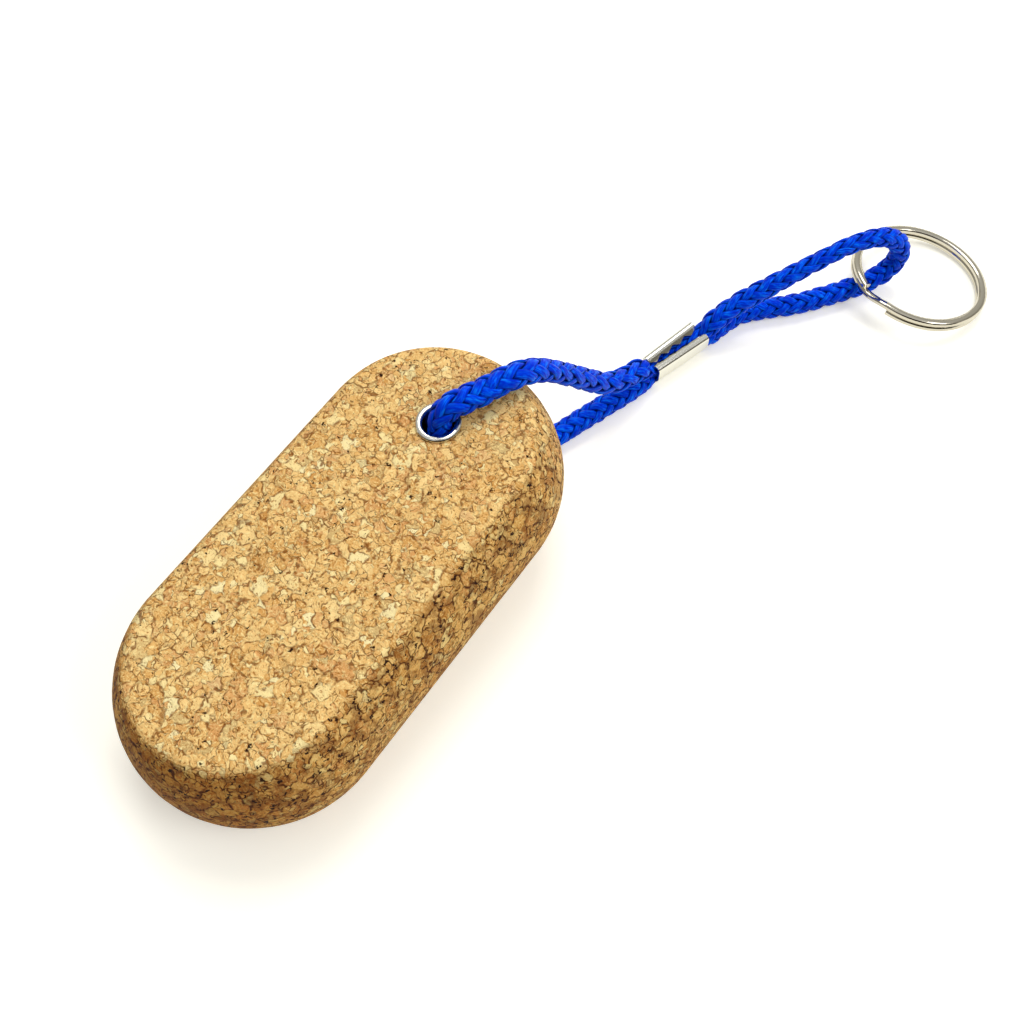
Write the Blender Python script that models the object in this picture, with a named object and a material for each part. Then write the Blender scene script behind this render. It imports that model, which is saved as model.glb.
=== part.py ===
"""Floating keychain: an oval cork float on a braided cord loop, with a crimped clasp and a split key ring.

It lies as it comes to rest on a table. World z = 0 is the table, the origin is under the middle of the float,
and +Y runs along the float towards the cord and the ring. Lengths are in metres.
"""
import math

import bmesh
import bpy
import numpy as np
from mathutils import Matrix, Vector

MM = 0.001

# Cork float
FLOAT_LENGTH = 102.4 * MM
FLOAT_WIDTH = 50.0 * MM
FLOAT_THICKNESS = 28.5 * MM
SIDE_BULGE = 5.0 * MM
FACE_EDGE_ROUNDING = 1.3 * MM
FLOAT_TILT = math.radians(4.2)

# Eyelets at the cord hole
EYELET_FROM_END = 21.5 * MM
EYELET_BORE = 6.2 * MM
EYELET_WALL = 0.3 * MM
EYELET_BARREL_DEPTH = 7.0 * MM
FLANGE_WIDTH = 1.3 * MM
FLANGE_HEIGHT = 0.5 * MM
SEAT_GAP = 0.3 * MM

# Cord
CORD_DIAMETER = 4.7 * MM
CORD_BEND_STEP = math.radians(17.0)
CORD_STRAIGHT_STEP = 2.8
CORD_SQUEEZE_STEP = 0.2
KNOT_POWER = 0.5
TABLE_GAP = 0.05 * MM

# Clasp, a folded strip with a row of teeth on each long edge
CLASP_LENGTH = 14.7 * MM
CLASP_WIDTH = 5.85 * MM
CLASP_FLARE = 1.0 * MM
CLASP_HEIGHT = 5.9 * MM
CLASP_SHEET = 0.45 * MM
CLASP_ROLL_RADIUS = 1.05 * MM
CLASP_ROLL_ANGLE = math.radians(135.0)
CLASP_TEETH = 4
CLASP_TOOTH_ROOT = 0.25 * MM
CLASP_TOOTH_VALLEY = 0.02 * MM
CLASP_TIP_GAP = 0.1 * MM
CLASP_CENTRE = (16.42 * MM, 90.24 * MM)
CLASP_HEADING = math.radians(13.8)
CLASP_LIFT = 0.35 * MM
SQUEEZED_DIAMETER = 1.45 * MM
SQUEEZE_MARGIN = 0.6 * MM
SQUEEZE_TAPER = 5.2 * MM

# Split ring, two turns of flattened wire
RING_DIAMETER = 32.0 * MM
RING_WIRE_WIDTH = 2.05 * MM
RING_WIRE_HEIGHT = 1.22 * MM
WIRE_FLATNESS = 0.75
RING_TURN_GAP = 0.06 * MM
RING_CENTRE = (50.43 * MM, 142.0 * MM)
RING_TILT = math.radians(9.6)
RING_TILT_HEADING = math.radians(55.0)
RING_LOWER_END = math.radians(266.0)
RING_STEP_ANGLE = math.radians(28.0)
RING_HINGE_ANGLE = math.radians(222.0)

# The cord's own line, from its end in the clasp, under the float, up through it and round the ring, in mm
CORD_ROUTE = (
    (16.16, 89.20, 1.85), (14.89, 84.00, 1.85), (13.90, 78.40, 2.38), (11.30, 69.80, 2.42), (2.10, 39.80, 2.42),
    (0.81, 34.16, 2.42), (0.43, 32.50, 2.88), (0.15, 31.29, 4.12), (0.04, 30.85, 5.82), (0.05, 29.80, 19.0),
    (0.06, 28.71, 34.0), (0.27, 29.14, 35.8), (0.84, 30.33, 37.12), (1.61, 31.96, 37.6), (4.20, 37.50, 37.6),
    (6.70, 43.60, 37.7), (8.00, 48.50, 34.9), (8.80, 53.80, 29.6), (11.0, 65.00, 16.2), (12.3, 70.00, 11.4),
    (13.2, 75.60, 8.40), (13.9, 80.60, 6.10), (14.9, 84.00, 3.66), (16.2, 89.30, 3.60), (17.54, 94.8, 3.68),
    (19.3, 99.60, 5.90), (21.9, 104.8, 9.10), (25.3, 110.2, 11.6), (34.5, 123.8, 17.5), (38.9, 130.7, 18.6),
    (42.3, 136.0, 16.8), (44.3, 139.1, 13.0), (44.8, 140.1, 9.00), (43.7, 139.0, 5.20), (41.1, 135.1, 2.66),
    (36.5, 127.5, 2.40), (29.6, 118.1, 2.42), (22.0, 109.3, 2.42), (19.4, 100.6, 2.28), (16.3, 89.80, 1.85),
)

# How finely the curved surfaces are divided
ROUND_STEPS = 48
SIDE_STEPS = 6
EDGE_STEPS = 5
FLANGE_STEPS = 8
FOLD_STEPS = 8
WIRE_STEPS = 14
RING_STEPS = 128
CORD_ROUND_STEPS = 3
SPLINE_STEPS = 40
SHARP_ANGLE = math.radians(35.0)


def clear_scene():
    for item in list(bpy.data.objects):
        bpy.data.objects.remove(item, do_unlink=True)


def make_material(name, colour, roughness, metallic):
    material = bpy.data.materials.new(name)
    material.use_nodes = True
    shader = material.node_tree.nodes["Principled BSDF"]
    shader.inputs["Base Color"].default_value = (*colour, 1.0)
    shader.inputs["Roughness"].default_value = roughness
    shader.inputs["Metallic"].default_value = metallic
    return material


def add_object(name, data, material):
    item = bpy.data.objects.new(name, data)
    item.data.materials.append(material)
    bpy.context.scene.collection.objects.link(item)
    return item


def add_empty(name, location, rotation):
    empty = bpy.data.objects.new(name, None)
    empty.location = location
    empty.rotation_euler = rotation
    bpy.context.scene.collection.objects.link(empty)
    return empty


def mesh_from(name, builder):
    """Let the builder fill a bmesh, face it outwards and return it as a smooth-shaded mesh."""
    shape = bmesh.new()
    builder(shape)
    bmesh.ops.recalc_face_normals(shape, faces=shape.faces)
    mesh = bpy.data.meshes.new(name)
    shape.to_mesh(mesh)
    shape.free()
    mesh.shade_smooth()
    mesh.set_sharp_from_angle(angle=SHARP_ANGLE)
    return mesh


def loft(shape, sections, closed_path=False):
    """Skin equal-length loops of points, and cap the first and last unless the path closes."""
    loops = [[shape.verts.new(point) for point in section] for section in sections]
    count = len(loops[0])
    pairs = list(zip(loops, loops[1:]))
    if closed_path:
        pairs.append((loops[-1], loops[0]))
    for near, far in pairs:
        for i in range(count):
            j = (i + 1) % count
            shape.faces.new((near[i], near[j], far[j], far[i]))
    if not closed_path:
        shape.faces.new(reversed(loops[0]))
        shape.faces.new(loops[-1])


def stadium(inset, z):
    """The float's outline at one height, moved in by the inset: two half circles and two straight sides."""
    radius = FLOAT_WIDTH / 2 - inset
    straight = (FLOAT_LENGTH - FLOAT_WIDTH) / 2
    points = []
    for i in range(2 * ROUND_STEPS):
        angle = 2 * math.pi * (i + 0.5) / (2 * ROUND_STEPS)
        end = straight if angle < math.pi else -straight
        points.append(Vector((radius * math.cos(angle), radius * math.sin(angle) + end, z)))
    return points


def float_side():
    """Inset and height up the side: a bulging arc between the two flat faces, with a small round at each."""
    half = FLOAT_THICKNESS / 2
    arc_radius = (half * half + SIDE_BULGE * SIDE_BULGE) / (2 * SIDE_BULGE)
    edge_angle = math.asin(half / arc_radius)
    start = edge_angle - FACE_EDGE_ROUNDING / arc_radius

    def on_arc(angle):
        inset = arc_radius * (1 - math.cos(angle))
        return Vector((inset, half + arc_radius * math.sin(angle)))

    corner = Vector((SIDE_BULGE, FLOAT_THICKNESS))
    flat = Vector((SIDE_BULGE + FACE_EDGE_ROUNDING, FLOAT_THICKNESS))
    upper = [on_arc(start * k / SIDE_STEPS) for k in range(1, SIDE_STEPS + 1)]
    for k in range(1, EDGE_STEPS + 1):
        t = k / EDGE_STEPS
        upper.append(on_arc(start) * (1 - t) ** 2 + corner * 2 * t * (1 - t) + flat * t ** 2)
    middle = Vector((0.0, half))
    lower = [Vector((p.x, FLOAT_THICKNESS - p.y)) for p in reversed(upper)]
    return lower + [middle] + upper


def eyelet_place():
    return Vector((0.0, FLOAT_LENGTH / 2 - EYELET_FROM_END, 0.0))


def barrel_radius():
    return EYELET_BORE / 2 + EYELET_WALL


def make_float(material):
    mesh = mesh_from("cork_float", lambda shape: loft(shape, [stadium(p.x, p.y) for p in float_side()]))
    item = add_object("cork_float", mesh, material)

    def drill(shape):
        bmesh.ops.create_cone(
            shape, cap_ends=True, segments=ROUND_STEPS,
            radius1=barrel_radius() + SEAT_GAP, radius2=barrel_radius() + SEAT_GAP, depth=2 * FLOAT_THICKNESS)

    cutter = add_object("cord_hole_cutter", mesh_from("cord_hole_cutter", drill), material)
    cutter.location = eyelet_place() + Vector((0.0, 0.0, FLOAT_THICKNESS / 2))
    cutter.hide_render = True
    cutter.display_type = "WIRE"
    hole = item.modifiers.new("cord_hole", "BOOLEAN")
    hole.operation = "DIFFERENCE"
    hole.solver = "EXACT"
    hole.object = cutter
    return item, cutter


def eyelet_profile():
    """Half section of a flanged eyelet whose flange sits at height 0: bore, rolled flange, barrel outside."""
    bore = EYELET_BORE / 2
    outer = barrel_radius()
    rim = bore + FLANGE_WIDTH
    middle = (bore + rim) / 2
    points = [(outer, -EYELET_BARREL_DEPTH), (bore, -EYELET_BARREL_DEPTH)]
    for k in range(FLANGE_STEPS + 1):
        angle = math.pi * (1 - k / FLANGE_STEPS)
        points.append((middle + FLANGE_WIDTH / 2 * math.cos(angle), FLANGE_HEIGHT * math.sin(angle)))
    points.append((outer, 0.0))
    return points


def make_eyelet(name, height, upward, material):
    profile = eyelet_profile()

    def build(shape):
        sections = []
        for step in range(ROUND_STEPS):
            turn = Matrix.Rotation(2 * math.pi * step / ROUND_STEPS, 3, "Z")
            sections.append([turn @ Vector((r, 0.0, upward * z)) for r, z in profile])
        loft(shape, sections, closed_path=True)

    item = add_object(name, mesh_from(name, build), material)
    item.location = eyelet_place() + Vector((0.0, 0.0, height))
    return item


def rest_on_table(float_item):
    """The tilted place of the float: its far lower edge on the table and its middle over the origin."""
    turn = Matrix.Rotation(FLOAT_TILT, 3, "X")
    corners = [turn @ vertex.co for vertex in float_item.data.vertices]
    middle = (min(p.y for p in corners) + max(p.y for p in corners)) / 2
    return Vector((0.0, -middle, -min(p.z for p in corners)))


def natural_spline(points):
    """Dense points on a natural cubic spline through the given ones."""
    points = np.asarray(points, dtype=float)
    knots = np.concatenate(([0.0], np.cumsum(np.linalg.norm(np.diff(points, axis=0), axis=1) ** KNOT_POWER)))
    gaps = np.diff(knots)
    count = len(points)
    system = np.eye(count)
    right = np.zeros((count, 3))
    for i in range(1, count - 1):
        system[i, i - 1] = gaps[i - 1]
        system[i, i] = 2 * (gaps[i - 1] + gaps[i])
        system[i, i + 1] = gaps[i]
        after = (points[i + 1] - points[i]) / gaps[i]
        before = (points[i] - points[i - 1]) / gaps[i - 1]
        right[i] = 6 * (after - before)
    bend = np.linalg.solve(system, right)
    dense = []
    for i in range(count - 1):
        for t in np.linspace(0.0, gaps[i], SPLINE_STEPS, endpoint=False):
            back = gaps[i] - t
            value = (bend[i] * back ** 3 + bend[i + 1] * t ** 3) / (6 * gaps[i])
            value = value + (points[i] / gaps[i] - bend[i] * gaps[i] / 6) * back
            value = value + (points[i + 1] / gaps[i] - bend[i + 1] * gaps[i] / 6) * t
            dense.append(value)
    dense.append(points[-1])
    return np.array(dense)


def cord_line():
    """Points on the cord's line, closer together where it bends or narrows, and never below the table."""
    dense = natural_spline(CORD_ROUTE) * MM
    steps = np.diff(dense, axis=0)
    lengths = np.linalg.norm(steps, axis=1)
    headings = steps / lengths[:, None]
    turns = np.arccos(np.clip((headings[1:] * headings[:-1]).sum(axis=1), -1.0, 1.0))
    effort = lengths / (CORD_STRAIGHT_STEP * CORD_DIAMETER)
    effort[1:] += turns / CORD_BEND_STEP
    effort += np.abs(np.diff([squeeze(place) for place in dense])) / CORD_SQUEEZE_STEP
    total = np.concatenate(([0.0], np.cumsum(effort)))
    places = np.linspace(0.0, total[-1], int(math.ceil(total[-1])) + 1)
    line = np.stack([np.interp(places, total, dense[:, axis]) for axis in range(3)], axis=1)
    for place in line:
        place[2] = max(place[2], squeeze(place) * CORD_DIAMETER / 2 + TABLE_GAP)
    return line


def clasp_frame():
    """Where the clasp stands: its length along local Y, its open side up."""
    return Matrix.Translation((*CLASP_CENTRE, CLASP_LIFT)) @ Matrix.Rotation(-CLASP_HEADING, 4, "Z")


def squeeze(point):
    """Share of the cord's diameter left at a point: pinched in the clasp, full a little way outside it."""
    along = abs((clasp_frame().inverted() @ Vector(point)).y) - CLASP_LENGTH / 2 - SQUEEZE_MARGIN
    t = min(max(along / SQUEEZE_TAPER, 0.0), 1.0)
    smallest = SQUEEZED_DIAMETER / CORD_DIAMETER
    return smallest + (1 - smallest) * t * t * (3 - 2 * t)


def make_cord(material):
    line = cord_line()
    curve = bpy.data.curves.new("cord", "CURVE")
    curve.dimensions = "3D"
    curve.bevel_depth = CORD_DIAMETER / 2
    curve.bevel_resolution = CORD_ROUND_STEPS
    curve.use_fill_caps = True
    spline = curve.splines.new("POLY")
    spline.points.add(len(line) - 1)
    for place, point in zip(line, spline.points):
        point.co = (*place, 1.0)
        point.radius = squeeze(place)
    return add_object("cord", curve, material)


def clasp_half_fold(width):
    """Middle line of one half of the folded strip, from the keel to the root of the teeth."""
    sheet = CLASP_SHEET / 2
    keel = width / 2 - sheet
    roll = CLASP_ROLL_RADIUS - sheet
    roll_height = CLASP_HEIGHT - CLASP_ROLL_RADIUS
    points = []
    for k in range(FOLD_STEPS + 1):
        angle = math.pi / 2 * k / FOLD_STEPS
        points.append(Vector((keel * math.sin(angle), width / 2 - keel * math.cos(angle))))
    for k in range(FOLD_STEPS + 1):
        angle = CLASP_ROLL_ANGLE * k / FOLD_STEPS
        points.append(Vector((keel - roll + roll * math.cos(angle), roll_height + roll * math.sin(angle))))
    points.append(points[-1] + tooth_heading() * CLASP_TOOTH_ROOT)
    return points


def tooth_heading():
    return Vector((-math.sin(CLASP_ROLL_ANGLE), math.cos(CLASP_ROLL_ANGLE)))


def tooth_height():
    """Length that brings the teeth a small gap short of each other across the clasp's narrow end."""
    root = clasp_half_fold(CLASP_WIDTH - CLASP_FLARE / 2)[-1]
    corner = CLASP_SHEET / 2 * abs(tooth_heading().y)
    return (root.x - corner - CLASP_TIP_GAP / 2) / abs(tooth_heading().x)


def make_clasp(material):
    """A strip folded round the two cord legs, wider towards the ring, with its toothed edges biting down."""
    half_pitches = 2 * CLASP_TEETH

    def build(shape):
        rows = []
        for k in range(half_pitches + 1):
            share = k / half_pitches - 0.5
            y = CLASP_LENGTH * share
            fold = clasp_half_fold(CLASP_WIDTH + CLASP_FLARE * share)
            reach = tooth_height() if k % 2 else CLASP_TOOTH_VALLEY
            half = fold + [fold[-1] + tooth_heading() * reach]
            left = [Vector((-p.x, y, p.y)) for p in reversed(half)]
            right = [Vector((p.x, y, p.y)) for p in half[1:]]
            rows.append([shape.verts.new(point) for point in left + right])
        for near, far in zip(rows, rows[1:]):
            for i in range(len(near) - 1):
                shape.faces.new((near[i], near[i + 1], far[i + 1], far[i]))

    item = add_object("clasp", mesh_from("clasp", build), material)
    thickness = item.modifiers.new("sheet", "SOLIDIFY")
    thickness.thickness = CLASP_SHEET
    thickness.offset = 0.0
    thickness.use_even_offset = True
    item.matrix_world = clasp_frame()
    return item


def wire_section():
    """Flattened round section of the ring's wire, across and up."""
    points = []
    for k in range(WIRE_STEPS):
        angle = 2 * math.pi * k / WIRE_STEPS
        across = math.copysign(abs(math.cos(angle)) ** WIRE_FLATNESS, math.cos(angle))
        up = math.copysign(abs(math.sin(angle)) ** WIRE_FLATNESS, math.sin(angle))
        points.append((across * RING_WIRE_WIDTH / 2, up * RING_WIRE_HEIGHT / 2))
    return points


def ring_frame():
    """The ring's plane as it leans: one side on the table, the other up on the cord."""
    stack = 2 * RING_WIRE_HEIGHT + RING_TURN_GAP
    height = RING_DIAMETER / 2 * math.sin(RING_TILT) + stack / 2 * math.cos(RING_TILT)
    lean_axis = Vector((-math.sin(RING_TILT_HEADING), math.cos(RING_TILT_HEADING), 0.0))
    lean = Matrix.Rotation(RING_TILT, 4, lean_axis)
    return Matrix.Translation((*RING_CENTRE, height)) @ lean


def make_ring(material):
    """Wire from the lower end once round, up over its own end, and once round again on top."""
    middle = (RING_DIAMETER - RING_WIRE_WIDTH) / 2
    rise = RING_WIRE_HEIGHT + RING_TURN_GAP
    one_turn = 2 * math.pi - RING_STEP_ANGLE
    total = one_turn + 2 * math.pi
    angles = [total * k / RING_STEPS for k in range(RING_STEPS + 1)]

    def build(shape):
        sections = []
        for angle in angles:
            t = min(max((angle - one_turn) / RING_STEP_ANGLE, 0.0), 1.0)
            level = rise * (t * t * (3 - 2 * t) - 0.5)
            turn = Matrix.Rotation(RING_LOWER_END + angle, 3, "Z")
            section = [turn @ Vector((middle + across, 0.0, level + up)) for across, up in wire_section()]
            sections.append(section)
        loft(shape, sections)

    mesh = mesh_from("split_ring", build)
    frame = ring_frame()
    spoke = Vector((math.cos(RING_HINGE_ANGLE), math.sin(RING_HINGE_ANGLE), 0.0)) * RING_DIAMETER / 2
    underside = Vector((0.0, 0.0, -rise / 2 - RING_WIRE_HEIGHT / 2))
    pivot = frame @ (spoke + underside)
    hinge = add_empty("ring_hinge", pivot, (0.0, 0.0, 0.0))
    item = add_object("split_ring", mesh, material)
    item.parent = hinge
    item.matrix_basis = Matrix.Translation(-pivot) @ frame
    return item


def main():
    clear_scene()
    cork = make_material("cork", (0.62, 0.40, 0.18), 0.75, 0.0)
    nickel = make_material("nickel_plate", (0.78, 0.77, 0.74), 0.2, 1.0)
    braid = make_material("blue_braid", (0.01, 0.07, 0.65), 0.6, 0.0)
    steel = make_material("ring_steel", (0.70, 0.69, 0.66), 0.18, 1.0)

    float_item, cutter = make_float(cork)
    top = make_eyelet("eyelet_top", FLOAT_THICKNESS + SEAT_GAP, 1.0, nickel)
    bottom = make_eyelet("eyelet_bottom", -SEAT_GAP, -1.0, nickel)
    tilt = add_empty("float_tilt", rest_on_table(float_item), (FLOAT_TILT, 0.0, 0.0))
    for piece in (float_item, cutter, top, bottom):
        piece.parent = tilt

    make_cord(braid)
    make_clasp(nickel)
    make_ring(steel)


main()
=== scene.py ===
"""Looks of the floating keychain: cork granules, a blue braided cord and plated metal on a white table."""
import math

import bpy
import numpy as np
from mathutils import Matrix, Vector


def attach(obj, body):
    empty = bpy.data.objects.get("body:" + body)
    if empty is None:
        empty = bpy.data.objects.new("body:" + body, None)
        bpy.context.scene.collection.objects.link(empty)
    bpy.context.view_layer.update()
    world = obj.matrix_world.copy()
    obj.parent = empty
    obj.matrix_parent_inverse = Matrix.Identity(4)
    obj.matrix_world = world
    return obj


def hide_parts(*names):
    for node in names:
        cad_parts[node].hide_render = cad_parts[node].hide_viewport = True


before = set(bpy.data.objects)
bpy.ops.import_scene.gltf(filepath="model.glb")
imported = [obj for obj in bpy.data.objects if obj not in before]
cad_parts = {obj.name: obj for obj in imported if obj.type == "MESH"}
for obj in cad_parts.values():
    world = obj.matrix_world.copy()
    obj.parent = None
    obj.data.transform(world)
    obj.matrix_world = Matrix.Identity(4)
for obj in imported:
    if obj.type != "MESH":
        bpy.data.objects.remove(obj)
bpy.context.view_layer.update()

ROOT = "float_and_cord"
MM = 0.001

# Camera recovered from the float's outline: lens and sensor in mm, place in metres, right, up and back axes
CAMERA_LENS = 43.367
CAMERA_SENSOR = 36.0
CAMERA_PLACE = (0.089955, -0.069757, 0.220408)
CAMERA_AXES = (
    (0.809095, 0.587628, -0.00764), (-0.49921, 0.694096, 0.518671), (0.310088, -0.415841, 0.85494))

# Cord route of the part's source, in mm
CORD_ROUTE = (
    (16.16, 89.20, 1.85), (14.89, 84.00, 1.85), (13.90, 78.40, 2.38), (11.30, 69.80, 2.42),
    (2.10, 39.80, 2.42), (0.81, 34.16, 2.42), (0.43, 32.50, 2.88), (0.15, 31.29, 4.12),
    (0.04, 30.85, 5.82), (0.05, 29.80, 19.0), (0.06, 28.71, 34.0), (0.27, 29.14, 35.8),
    (0.84, 30.33, 37.12), (1.61, 31.96, 37.6), (4.20, 37.50, 37.6), (6.70, 43.60, 37.7),
    (8.00, 48.50, 34.9), (8.80, 53.80, 29.6), (11.0, 65.00, 16.2), (12.3, 70.00, 11.4),
    (13.2, 75.60, 8.40), (13.9, 80.60, 6.10), (14.9, 84.00, 3.66), (16.2, 89.30, 3.60),
    (17.54, 94.8, 3.68), (19.3, 99.60, 5.90), (21.9, 104.8, 9.10), (25.3, 110.2, 11.6),
    (34.5, 123.8, 17.5), (38.9, 130.7, 18.6), (42.3, 136.0, 16.8), (44.3, 139.1, 13.0),
    (44.8, 140.1, 9.00), (43.7, 139.0, 5.20), (41.1, 135.1, 2.66), (36.5, 127.5, 2.40),
    (29.6, 118.1, 2.42), (22.0, 109.3, 2.42), (19.4, 100.6, 2.28), (16.3, 89.80, 1.85),
)

# Fineness of the cord's line: steps between route points, mm between its own points, points in its record
SPLINE_STEPS = 40
LINE_STEP = 0.25
RECORD_POINTS = 240

# How full the cord looks and how far its lay is drawn out: place in mm, width and lay as shares of the usual
CORD_SHAPE = (
    ((0.06, 28.71, 34.0), 1.02, 1.0), ((1.61, 31.96, 37.6), 1.16, 1.1), ((4.2, 37.5, 37.6), 1.18, 1.1),
    ((8.0, 48.5, 34.9), 1.08, 1.35), ((9.6, 58.0, 24.0), 1.06, 1.9), ((12.3, 70.0, 11.4), 1.04, 1.9),
    ((13.9, 80.6, 6.1), 1.10, 1.4), ((20.6, 101.5, 7.3), 1.10, 1.25), ((25.3, 110.2, 11.6), 1.0, 1.3),
    ((34.5, 123.8, 17.5), 0.84, 1.3), ((38.9, 130.7, 18.6), 0.88, 1.2), ((42.3, 136.0, 16.8), 0.96, 1.1),
    ((44.8, 140.1, 9.0), 1.02, 1.1), ((36.5, 127.5, 2.4), 1.04, 1.15), ((22.0, 109.3, 2.42), 1.06, 1.1),
)
CORD_END_WIDTH = 1.10
CORD_FULL_HEIGHT = 1.02
PINCH_WIDTH = 0.90
PINCH_HEIGHT = 0.42
PINCH_FADE = 3.6

# Clasp place, as in the part's source, in mm
CLASP_CENTRE = (16.42, 90.24)
CLASP_HEADING = math.radians(13.8)
CLASP_LENGTH = 14.7

# Braid in mm: twelve flat strands, six winding each way, two over and two under
BRAID_PITCH = 18.5
BRAID_SEED = 5
STRANDS_EACH_WAY = 6
STRAND_HALF_WIDTH = 0.90
STRAND_HALF_THICK = 0.48
STRAND_UP = 1.90
STRAND_DOWN = 1.16
STRAND_STEP = 0.45
STRAND_SIDES = 10
STRAND_EDGE_POWER = 0.7
STRAND_FACE_POWER = 0.8
WEAVE_STEEPNESS = 1.25
CORE_RADIUS = 1.4
CORE_STEP = 1.2

# Unevenness of the strands: its spread, in shares, radians and mm, and its number of knots along the cord
WIDTH_WANDER = (0.06, 200)
ANGLE_WANDER = (0.05, 160)
HEIGHT_WANDER = (0.07, 160)

# Offsets in the braid's marks, so that no two strands show the same stretch of noise
ALONG_OFFSET = 31.0
ACROSS_OFFSET = 2.0
CORE_ACROSS = 40.0

# Cork pattern, in cells or waves per mm; a warp is its scale and its reach in mm
BIG_FLAKES = 0.36
SMALL_FLAKES = 0.80
FLAKE_WARP = (0.55, 1.9)
FLAKE_GRAIN = 2.4
SIZE_PATCHES = 0.42
SEAM_PATCHES = 0.9
AGED_PATCHES = 0.34
CRUMBS = 0.9
CRUMB_WARP = (1.6, 1.6)

# Split ring: how strongly its flat faces shade as if crowned, per metre
RING_CROWN = 280.0

# Lights: name, side in metres, power in watts and place, all aimed at one point
LIGHTS = (("key", 0.6, 5.3, (-0.25, 0.45, 1.0)), ("right_softbox", 0.5, 4.6, (0.80, 0.15, 0.72)))
LIT_POINT = (0.0, 0.03, 0.0)
FLOOR_HALF = 1.6
FLOOR_GLOW = 0.33

# Room that the metal mirrors: tones from its far side to the viewer's, and the dark patch over the viewer
TOWARDS_VIEWER = (0.30, -0.40, 0.0)
OVER_VIEWER = (0.42, -0.56, 0.71)
ROOM_TONES = (
    (0.0, (0.85, 0.84, 0.78)), (0.4, (0.50, 0.49, 0.44)), (0.62, (0.24, 0.22, 0.18)),
    (0.8, (0.07, 0.06, 0.04)), (1.0, (0.03, 0.02, 0.01)))
ROOM_DARK = (0.04, 0.03, 0.01)
ROOM_STRENGTH = 0.72
WHITE = (1.0, 1.0, 1.0, 1.0)


def srgb(r, g, b):
    return tuple((c / 255 / 12.92) if c <= 10 else ((c / 255 + 0.055) / 1.055) ** 2.4 for c in (r, g, b))


def colour(r, g, b):
    return (*srgb(r, g, b), 1.0)


# Cord colours: filaments from dark to light, worn blotches, and the shade between strands
BRAID_TONES = ((0.34, srgb(0, 30, 190)), (0.50, srgb(0, 74, 240)), (0.66, srgb(12, 128, 255)))
BRAID_BLOTCH = colour(0, 32, 196)
BRAID_SHADE = colour(0, 4, 84)
BRAID_GLOSS = colour(60, 160, 255)

# Cork colours: the granules' tones, the odd ones among them, their grain and seams, the aged sides, a
# browner side tone that also paints shade on the near end, and tints of painted shade for the near end and
# the near-facing sides
CORK_TONES = (
    (0.0, srgb(212, 154, 82)), (0.15, srgb(230, 178, 104)), (0.5, srgb(242, 196, 122)),
    (0.84, srgb(250, 210, 138)), (0.92, srgb(255, 230, 162)), (1.0, srgb(255, 238, 180)))
CORK_ORANGE = colour(226, 164, 100)
CORK_GREY = colour(190, 164, 110)
CORK_GRAIN_DARK = colour(168, 104, 34)
CORK_GRAIN_LIGHT = colour(255, 230, 160)
CORK_SEAM = colour(122, 66, 16)
CORK_SIDE_SEAM = colour(60, 22, 4)
CORK_SIDE_TONE_AND_FRONT_SHADE = colour(136, 76, 10)
CORK_AGED = colour(128, 70, 16)
CORK_PIT = colour(40, 12, 4)
CORK_NEAR_PAINTED_SHADE = (0.90, 0.83, 0.68, 1.0)
CORK_FRONT_PAINTED_SHADE = (0.88, 0.76, 0.54, 1.0)

# Table colours, lit and glowing
TABLE = colour(250, 248, 237)
TABLE_GLOW = colour(255, 254, 248)


def add_to_scene(name, data):
    item = bpy.data.objects.new(name, data)
    bpy.context.scene.collection.objects.link(item)
    return item


def make_camera():
    data = bpy.data.cameras.new("camera")
    data.lens = CAMERA_LENS
    data.sensor_width = CAMERA_SENSOR
    data.clip_start = 0.01
    camera = add_to_scene("camera", data)
    place = Matrix(CAMERA_AXES).transposed().to_4x4()
    place.translation = CAMERA_PLACE
    camera.matrix_world = place
    bpy.context.scene.camera = camera


def spline_points(points):
    """Dense points on a natural cubic spline through the given ones, as the part's source reads them."""
    points = np.asarray(points, dtype=float)
    knots = np.concatenate(([0.0], np.cumsum(np.linalg.norm(np.diff(points, axis=0), axis=1) ** 0.5)))
    gaps = np.diff(knots)
    count = len(points)
    system = np.eye(count)
    right = np.zeros((count, 3))
    for i in range(1, count - 1):
        system[i, i - 1] = gaps[i - 1]
        system[i, i] = 2 * (gaps[i - 1] + gaps[i])
        system[i, i + 1] = gaps[i]
        right[i] = 6 * ((points[i + 1] - points[i]) / gaps[i] - (points[i] - points[i - 1]) / gaps[i - 1])
    bend = np.linalg.solve(system, right)
    dense = []
    for i in range(count - 1):
        for t in np.linspace(0.0, gaps[i], SPLINE_STEPS, endpoint=False):
            back = gaps[i] - t
            value = (bend[i] * back ** 3 + bend[i + 1] * t ** 3) / (6 * gaps[i])
            value = value + (points[i] / gaps[i] - bend[i] * gaps[i] / 6) * back
            value = value + (points[i + 1] / gaps[i] - bend[i + 1] * gaps[i] / 6) * t
            dense.append(value)
    dense.append(points[-1])
    return np.array(dense)


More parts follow.
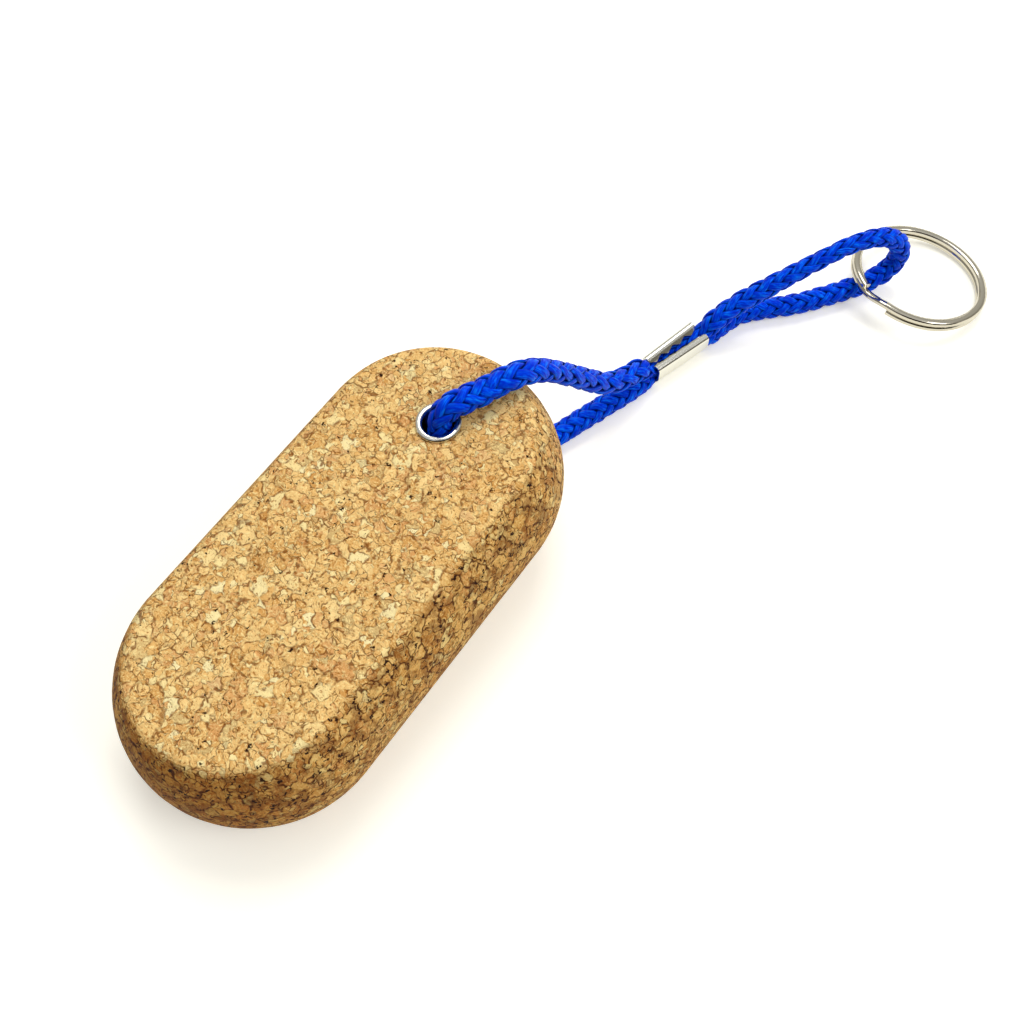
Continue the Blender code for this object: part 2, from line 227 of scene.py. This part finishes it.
class CordLine:
    """The cord's centreline by arc length, with a frame that doesn't spin about it and its local shape."""

    def __init__(self, points):
        dense = spline_points(points)
        along = np.concatenate(([0.0], np.cumsum(np.linalg.norm(np.diff(dense, axis=0), axis=1))))
        self.length = along[-1]
        self.s = np.linspace(0.0, self.length, int(self.length / LINE_STEP))
        self.p = np.stack([np.interp(self.s, along, dense[:, k]) for k in range(3)], axis=1)
        self.set_frames()
        self.set_shape()

    def set_frames(self):
        """Two directions across the cord at each point, and a level one, or n where the cord stands up."""
        tangent = np.gradient(self.p, axis=0)
        tangent = tangent / np.linalg.norm(tangent, axis=1)[:, None]
        normal = np.cross(tangent[0], (0.0, 0.0, 1.0))
        self.n = np.zeros_like(self.p)
        for i, t in enumerate(tangent):
            normal = normal - t * normal.dot(t)
            normal = normal / np.linalg.norm(normal)
            self.n[i] = normal
        self.b = np.cross(tangent, self.n)
        level = np.cross(tangent, (0.0, 0.0, 1.0))
        size = np.linalg.norm(level, axis=1)
        self.level = np.where(size[:, None] > 0.2, level / np.maximum(size, 1e-6)[:, None], self.n)

    def set_shape(self):
        """Width, height, lay: full over the float's end, drawn out on the free legs, flat in the clasp."""
        s = [0.0] + [self.nearest(place) for place, width, lay in CORD_SHAPE] + [self.length]
        widths = [CORD_END_WIDTH] + [width for place, width, lay in CORD_SHAPE] + [CORD_END_WIDTH]
        usual = np.interp(self.s, s, widths)
        self.lay = np.interp(self.s, s, [1.0] + [lay for place, width, lay in CORD_SHAPE] + [1.0])
        pinch = 1 - ease(clasp_distance(self.p) / PINCH_FADE)
        self.wide = usual * (1 - pinch) + PINCH_WIDTH * pinch
        self.high = np.minimum(usual, CORD_FULL_HEIGHT) * (1 - pinch) + PINCH_HEIGHT * pinch

    def at(self, s):
        s = np.clip(s, 0.0, self.length)

        def read(values):
            return np.stack([np.interp(s, self.s, values[:, k]) for k in range(3)], axis=-1)

        return read(self.p), read(self.n), read(self.b), read(self.level)

    def place(self, s, angle, radius):
        """Points at a distance along the cord, an angle round it and a distance from its line."""
        p, n, b, level = self.at(s)
        out = n * (np.cos(angle) * radius)[..., None] + b * (np.sin(angle) * radius)[..., None]
        flat = (out * level).sum(-1)[..., None] * level
        wide = np.interp(s, self.s, self.wide)[..., None]
        high = np.interp(s, self.s, self.high)[..., None]
        return p + flat * wide + (out - flat) * high

    def nearest(self, point):
        return self.s[np.argmin(np.linalg.norm(self.p - np.asarray(point), axis=1))]


def clasp_distance(points):
    """How far along the clasp's own length each point lies outside it, in mm; negative inside."""
    away = points[:, :2] - np.array(CLASP_CENTRE)
    along = away[:, 0] * math.sin(CLASP_HEADING) + away[:, 1] * math.cos(CLASP_HEADING)
    return np.abs(along) - CLASP_LENGTH / 2


def ease(t):
    t = np.clip(t, 0.0, 1.0)
    return t * t * (3 - 2 * t)


def tube_faces(rows, sides, first):
    """Quads of a closed-round tube whose vertices start at the given index, with its two ends capped."""
    faces = []
    for i in range(rows - 1):
        for j in range(sides):
            k = (j + 1) % sides
            a = first + i * sides
            faces.append((a + j, a + k, a + sides + k, a + sides + j))
    faces.append(tuple(first + j for j in reversed(range(sides))))
    faces.append(tuple(first + (rows - 1) * sides + j for j in range(sides)))
    return faces


def weave(phase, way):
    """Height of a strand in the weave: 1 over two others, -1 under the next two, short slopes between."""
    wave = way * np.cos(math.pi * (phase - 0.5) / 2)
    return wave * np.sqrt(1 + WEAVE_STEEPNESS) / np.sqrt(1 + WEAVE_STEEPNESS * wave ** 2)


def strand_section():
    """Angles round a strand's flat section, with the points' places across the strand and through it."""
    around = np.linspace(0.0, 2 * math.pi, STRAND_SIDES, endpoint=False)
    across = np.sign(np.cos(around)) * np.abs(np.cos(around)) ** STRAND_EDGE_POWER * STRAND_HALF_WIDTH
    through = np.sign(np.sin(around)) * np.abs(np.sin(around)) ** STRAND_FACE_POWER * STRAND_HALF_THICK
    return around, across, through


def make_strand(line, way, k, rng):
    """Rows of points of one strand, and its marks: length along, place across, edge and lift."""
    rows = int(line.length / STRAND_STEP)
    s = np.linspace(0.0, line.length, rows)
    turn = 2 * math.pi / BRAID_PITCH
    wound = np.interp(s, line.s, np.cumsum(np.gradient(line.s) / line.lay))
    lean = np.arctan(turn * STRAND_UP / np.interp(s, line.s, line.lay))[:, None]
    around, across, through = strand_section()

    def wander(size, count):
        return np.interp(s, np.linspace(0, line.length, count), rng.normal(0.0, size, count))

    crossing = 2 * STRANDS_EACH_WAY * wound / BRAID_PITCH
    lift = weave(crossing + 2 * k if way > 0 else 2 * k - crossing, way)
    across = across * (1 + wander(*WIDTH_WANDER))[:, None]
    angle = way * turn * wound + 2 * math.pi * k / STRANDS_EACH_WAY + wander(*ANGLE_WANDER)
    middle = (STRAND_UP + STRAND_DOWN) / 2
    swing = (STRAND_UP - STRAND_DOWN) / 2
    reach = middle + swing * lift + wander(*HEIGHT_WANDER)
    points = line.place(s[:, None] - way * across * np.sin(lean),
                        angle[:, None] + across * np.cos(lean) / STRAND_UP, reach[:, None] + through)
    number = k + STRANDS_EACH_WAY * (way > 0)
    marks = np.stack([
        np.repeat(s + ALONG_OFFSET * number, STRAND_SIDES),
        np.tile(np.cos(around) * 0.5 + 0.5 + ACROSS_OFFSET * number, rows),
        np.tile(np.abs(np.cos(around)), rows), np.repeat(lift * 0.5 + 0.5, STRAND_SIDES)])
    return points, marks


def make_core(line):
    """Rows of points of the round core that closes the gaps between the strands, and its marks."""
    s = np.linspace(0.0, line.length, int(line.length / CORE_STEP))
    around = np.linspace(0.0, 2 * math.pi, STRAND_SIDES, endpoint=False)
    where, angle = np.meshgrid(s, around, indexing="ij")
    points = line.place(where, angle, np.full(where.shape, CORE_RADIUS))
    across, edge, lift = (np.full(where.size, value) for value in (CORE_ACROSS, 1.0, 0.0))
    marks = np.stack([where.ravel(), across, edge, lift])
    return points, marks


def make_braid(line):
    """Flat strands woven round a core, with the marks that the material reads."""
    rng = np.random.default_rng(BRAID_SEED)
    parts = [make_strand(line, way, k, rng) for way in (1, -1) for k in range(STRANDS_EACH_WAY)]
    parts.append(make_core(line))
    faces, first = [], 0
    for points, marks in parts:
        faces += tube_faces(len(points), STRAND_SIDES, first)
        first += len(points) * STRAND_SIDES
    mesh = bpy.data.meshes.new("cord_braid")
    mesh.from_pydata(np.concatenate([points.reshape(-1, 3) for points, marks in parts]) * MM, [], faces)
    values = np.concatenate([marks for points, marks in parts], axis=1)
    for name, row in zip(("along", "across", "edge", "lift"), values):
        mesh.attributes.new(name, "FLOAT", "POINT").data.foreach_set("value", row)
    mesh.shade_smooth()
    mesh.update()
    return add_to_scene("cord_braid", mesh)


class Nodes:
    """Short calls for building the node tree of a material or a world."""

    def __init__(self, owner, shader="Principled BSDF"):
        owner.use_nodes = True
        self.owner = owner
        self.tree = owner.node_tree
        self.shader = self.tree.nodes[shader]

    def fill(self, node, inputs):
        for key, value in inputs.items():
            if isinstance(value, bpy.types.NodeSocket):
                self.tree.links.new(value, node.inputs[key])
            else:
                node.inputs[key].default_value = value

    def add(self, kind, inputs=None, **settings):
        node = self.tree.nodes.new(kind)
        for key, value in settings.items():
            setattr(node, key, value)
        self.fill(node, inputs or {})
        return node

    def math(self, operation, a, b=0.0, c=0.0):
        return self.add("ShaderNodeMath", {0: a, 1: b, 2: c}, operation=operation).outputs[0]

    def vector(self, operation, a, b=(0.0, 0.0, 0.0), c=(0.0, 0.0, 0.0)):
        return self.add("ShaderNodeVectorMath", {0: a, 1: b, 2: c}, operation=operation).outputs

    def mix(self, factor, a, b, blend="MIX"):
        node = self.add("ShaderNodeMix", {0: factor, 6: a, 7: b}, data_type="RGBA", blend_type=blend)
        return node.outputs[2]

    def ramp(self, value, stops):
        node = self.add("ShaderNodeValToRGB", {0: value})
        marks = node.color_ramp.elements
        while len(marks) < len(stops):
            marks.new(0.5)
        for mark, (place, tone) in zip(marks, stops):
            mark.position = place
            mark.color = (*tone, 1.0) if hasattr(tone, "__len__") else (tone, tone, tone, 1.0)
        return node.outputs[0]

    def noise(self, where, scale, detail=2.0, roughness=0.5):
        return self.add("ShaderNodeTexNoise", {
            "Vector": where, "Scale": scale, "Detail": detail, "Roughness": roughness}).outputs

    def voronoi(self, where, scale, feature="F1"):
        return self.add("ShaderNodeTexVoronoi", {"Vector": where, "Scale": scale}, feature=feature).outputs

    def set(self, **values):
        self.fill(self.shader, {key.replace("_", " "): value for key, value in values.items()})
        return self.owner


def new_material(name):
    return Nodes(bpy.data.materials.new(name))


def braid_material():
    """Filaments along each strand, darker at its edges and where it dives under another."""
    n = new_material("blue_braid")

    def mark(name):
        return n.add("ShaderNodeAttribute", attribute_name=name).outputs["Fac"]

    def stretched(per_along, per_across):
        return n.add("ShaderNodeCombineXYZ", {
            "X": n.math("MULTIPLY", mark("along"), per_along),
            "Y": n.math("MULTIPLY", mark("across"), per_across)}).outputs[0]

    fibres = n.noise(stretched(0.6, 7.0), 1.0, 3.0, 0.6)["Fac"]
    blotch = n.noise(stretched(0.5, 1.5), 1.0)["Fac"]
    base = n.mix(n.ramp(blotch, ((0.42, 0.0), (0.62, 0.7))), n.ramp(fibres, BRAID_TONES), BRAID_BLOTCH)
    at_edge = n.ramp(mark("edge"), ((0.66, 0.0), (0.96, 0.85)))
    dived = n.ramp(mark("lift"), ((0.24, 0.9), (0.54, 0.0)))
    base = n.mix(n.math("MAXIMUM", at_edge, dived), base, BRAID_SHADE)
    bump = n.add("ShaderNodeBump", {"Strength": 0.6, "Distance": 0.0002, "Height": fibres})
    return n.set(Base_Color=base, Roughness=0.5, Normal=bump.outputs[0], Specular_IOR_Level=0.15,
                 Specular_Tint=BRAID_GLOSS, Sheen_Weight=0.0)


def warped(n, where, scale, reach):
    """Coordinates pushed about by noise, so that cells in them lose their straight sides."""
    shift = n.vector("ADD", n.noise(where, scale, 1.0, 0.55)["Color"], (-0.5, -0.5, -0.5))[0]
    return n.vector("MULTIPLY_ADD", shift, (reach, reach, reach), where)[0]


def flakes(n, where, scale):
    """Random colour of the granule at each point, distance to its edge, and height of its tilted face."""
    cell = n.voronoi(where, scale)
    edge = n.voronoi(where, scale, "DISTANCE_TO_EDGE")["Distance"]
    off = n.vector("SUBTRACT", where, cell["Position"])[0]
    lean = n.vector("ADD", cell["Color"], (-0.5, -0.5, -0.5))[0]
    return cell["Color"], edge, n.vector("DOT_PRODUCT", off, lean)["Value"]


def granules(n, mm, where):
    """Colour, seams and tilt of the granules: large ones in places and small ones in others."""
    pick = n.ramp(n.noise(mm, SIZE_PATCHES)["Fac"], ((0.50, 0.0), (0.52, 1.0)))
    both = zip(flakes(n, where, BIG_FLAKES), flakes(n, where, SMALL_FLAKES))
    cell, edge, tilt = (n.mix(pick, big, small) for big, small in both)
    chance = n.add("ShaderNodeSeparateColor", {0: cell}).outputs
    flake = n.ramp(chance[0], CORK_TONES)
    flake = n.mix(n.ramp(chance[1], ((0.84, 0.0), (0.86, 0.7))), flake, CORK_ORANGE)
    flake = n.mix(n.ramp(chance[1], ((0.07, 0.6), (0.09, 0.0))), flake, CORK_GREY)
    faint = n.ramp(n.noise(mm, SEAM_PATCHES)["Fac"], ((0.40, 0.15), (0.58, 1.0)))
    seam = n.math("MULTIPLY", n.ramp(edge, ((0.03, 1.0), (0.09, 0.0))), faint)
    return flake, seam, tilt


def cork_sides(n, mm, normal):
    """Shares from 0 to 1: all the sides, their aged patches (fewer towards the far end, as painted light),
    the near end and the near-facing part, the last two for painted shade.
    """
    side = n.ramp(n.math("ABSOLUTE", normal["Z"]), ((0.50, 1.0), (0.96, 0.0)))
    patch = n.ramp(n.noise(mm, AGED_PATCHES, 3.0, 0.65)["Fac"], ((0.47, 0.0), (0.57, 1.0)))
    # Painted light: fewer aged patches towards the far end, which makes that end lighter as if lit more.
    far_light_fade = n.ramp(normal["Y"], ((0.0, 1.0), (0.7, 0.35)))
    aged = n.math("MULTIPLY", n.math("MULTIPLY", side, patch), far_light_fade)
    # Painted shade on the near end, which gets little light.
    front_shade = n.math("MULTIPLY", side, n.ramp(n.math("MULTIPLY", normal["Y"], -1.0), ((0.2, 0.0), (0.9, 1.0))))
    # Painted shade on every side except those that face the far end.
    near = n.math("MULTIPLY", side, n.ramp(normal["Y"], ((0.0, 1.0), (0.6, 0.0))))
    return side, aged, front_shade, near


def cork_pits(n, mm, side, aged):
    """Small dark crumbs and holes, more of them on the sides and most in the aged patches."""
    crumbs = n.voronoi(warped(n, mm, *CRUMB_WARP), CRUMBS)
    chance = n.add("ShaderNodeSeparateColor", {0: crumbs["Color"]}).outputs[0]
    chance = n.math("MULTIPLY_ADD", side, 0.06, n.math("MULTIPLY_ADD", aged, 0.16, chance))
    reach = n.math("MULTIPLY_ADD", side, -0.08, crumbs["Distance"])
    return n.math("MULTIPLY", n.ramp(chance, ((0.88, 0.0), (0.90, 1.0))),
                  n.ramp(reach, ((0.22, 1.0), (0.30, 0.0))))


def cork_material():
    """Pressed cork granules: flakes of two sizes and many tans, lying a little askew, seams and crumbs, with
    painted shade on the near end and the near-facing sides.
    """
    n = new_material("cork")
    place = n.add("ShaderNodeTexCoord").outputs
    mm = n.add("ShaderNodeMapping", {"Vector": place["Object"], "Scale": (1 / MM,) * 3}).outputs[0]
    normal = n.add("ShaderNodeSeparateXYZ", {0: place["Normal"]}).outputs
    where = warped(n, mm, *FLAKE_WARP)
    side, aged, front_shade, near = cork_sides(n, mm, normal)
    flake, seam, tilt = granules(n, mm, where)
    pit = cork_pits(n, mm, side, aged)

    grain = n.noise(where, FLAKE_GRAIN, 3.0, 0.6)["Fac"]
    flake = n.mix(n.ramp(grain, ((0.35, 0.85), (0.42, 0.0))), flake, CORK_GRAIN_DARK)
    flake = n.mix(n.ramp(grain, ((0.53, 0.0), (0.62, 0.70))), flake, CORK_GRAIN_LIGHT)
    flake = n.mix(n.math("MULTIPLY", seam, 0.80), flake, CORK_SEAM)
    # The sides a little browner, and the near end more so, which is painted shade.
    flake = n.mix(n.math("MULTIPLY_ADD", front_shade, 0.25, n.math("MULTIPLY", side, 0.10)), flake, CORK_SIDE_TONE_AND_FRONT_SHADE)
    flake = n.mix(n.math("MULTIPLY", aged, 0.60), flake, CORK_AGED)
    # Painted shade: the sides not facing the far end, and the near end more, multiplied darker.
    flake = n.mix(near, flake, CORK_NEAR_PAINTED_SHADE, "MULTIPLY")
    flake = n.mix(front_shade, flake, CORK_FRONT_PAINTED_SHADE, "MULTIPLY")
    flake = n.mix(n.math("MULTIPLY", side, n.math("MULTIPLY", seam, 0.8)), flake, CORK_SIDE_SEAM)
    flake = n.mix(n.math("MULTIPLY", pit, 0.97), flake, CORK_PIT)

    height = n.math("MULTIPLY_ADD", tilt, 0.8, n.math("MULTIPLY", seam, -0.25))
    height = n.math("MULTIPLY_ADD", pit, -0.5, height)
    height = n.math("MULTIPLY_ADD", grain, 0.9, height)
    bump = n.add("ShaderNodeBump", {"Strength": 0.8, "Distance": 0.00045, "Height": height})
    return n.set(Base_Color=flake, Roughness=0.7, Normal=bump.outputs[0], Specular_IOR_Level=0.1)


def nickel_material():
    return new_material("nickel_plate").set(Base_Color=colour(218, 216, 206), Metallic=1.0, Roughness=0.11)


def ring_material(ring):
    """Polished wire whose flat faces shade as if crowned, by the distance from the ring mesh's middle."""
    points = np.array([tuple(vertex.co) for vertex in ring.data.vertices])
    middle = (points.min(axis=0) + points.max(axis=0)) / 2
    away = points - middle
    axis = np.linalg.svd(away, full_matrices=False)[2][2]
    reach = np.linalg.norm(away - np.outer(away @ axis, axis), axis=1)
    n = new_material("ring_steel")
    off = n.vector("SUBTRACT", n.add("ShaderNodeTexCoord").outputs["Object"], tuple(middle))[0]
    radius = n.vector("LENGTH", n.vector("CROSS_PRODUCT", off, tuple(axis))[0])["Value"]
    across = n.math("SUBTRACT", radius, (reach.min() + reach.max()) / 2)
    crown = n.math("MULTIPLY", n.math("MULTIPLY", across, across), -RING_CROWN)
    bump = n.add("ShaderNodeBump", {"Strength": 1.0, "Distance": 1.0, "Height": crown})
    return n.set(Base_Color=colour(198, 192, 176), Metallic=1.0, Roughness=0.12, Normal=bump.outputs[0])


def table_material():
    """White table that glows a little, for the camera and in mirror images only."""
    n = new_material("white_table")
    path = n.add("ShaderNodeLightPath").outputs
    seen = n.math("MAXIMUM", path["Is Camera Ray"], path["Is Glossy Ray"])
    return n.set(Base_Color=TABLE, Roughness=0.6, Specular_IOR_Level=0.1, Emission_Color=TABLE_GLOW,
                 Emission_Strength=n.math("MULTIPLY", seen, FLOOR_GLOW))


def make_floor():
    mesh = bpy.data.meshes.new("floor")
    corners = [(x * FLOOR_HALF, y * FLOOR_HALF, 0.0) for x, y in ((-1, -1), (1, -1), (1, 1), (-1, 1))]
    mesh.from_pydata(corners, [], [(0, 1, 2, 3)])
    floor = add_to_scene("floor", mesh)
    floor.data.materials.append(table_material())


def make_lights():
    for name, size, power, place in LIGHTS:
        data = bpy.data.lights.new(name, "AREA")
        data.shape = "SQUARE"
        data.size = size
        data.energy = power
        lamp = add_to_scene(name, data)
        lamp.location = place
        lamp.rotation_euler = (Vector(LIT_POINT) - Vector(place)).to_track_quat("-Z", "Y").to_euler()


def make_room():
    """Surroundings for the metal, white overhead and dark near the viewer; the camera sees plain white."""
    world = bpy.data.worlds.new("studio")
    bpy.context.scene.world = world
    n = Nodes(world, "Background")
    direction = n.add("ShaderNodeTexCoord").outputs["Generated"]

    def along(vector):
        return n.vector("DOT_PRODUCT", direction, vector)["Value"]

    sides = n.ramp(n.math("ADD", along(TOWARDS_VIEWER), 0.5), ROOM_TONES)
    overhead = n.ramp(along((0.0, 0.0, 1.0)), ((0.40, 0.0), (0.80, 1.0)))
    patch = n.ramp(along(OVER_VIEWER), ((0.90, 1.0), (0.97, ROOM_DARK)))
    n.set(Color=n.mix(1.0, n.mix(overhead, sides, WHITE), patch, "MULTIPLY"), Strength=ROOM_STRENGTH)
    seen = n.add("ShaderNodeLightPath").outputs["Is Camera Ray"]
    white = n.add("ShaderNodeBackground", {"Color": WHITE})
    choose = n.add("ShaderNodeMixShader", {0: seen, 1: n.shader.outputs[0], 2: white.outputs[0]})
    n.tree.links.new(choose.outputs[0], n.tree.nodes["World Output"].inputs["Surface"])


def make_cord():
    """The braid in place of the plain tube; points along its route are also sampled, and nothing uses them.
    """
    line = CordLine(CORD_ROUTE)
    cord = make_braid(line)
    cord.data.materials.append(braid_material())
    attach(cord, ROOT)
    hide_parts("cord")
    path = line.at(np.linspace(0.0, line.length, RECORD_POINTS))[0] * MM


def give(node, material):
    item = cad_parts[node]
    item.data.materials.clear()
    item.data.materials.append(material)


make_camera()
make_cord()
give("cork_float", cork_material())
bright = nickel_material()
for name in ("eyelet_top", "eyelet_bottom", "clasp"):
    give(name, bright)
give("split_ring", ring_material(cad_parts["split_ring"]))
make_floor()
make_lights()
make_room()
bpy.context.scene.view_settings.view_transform = "Standard"
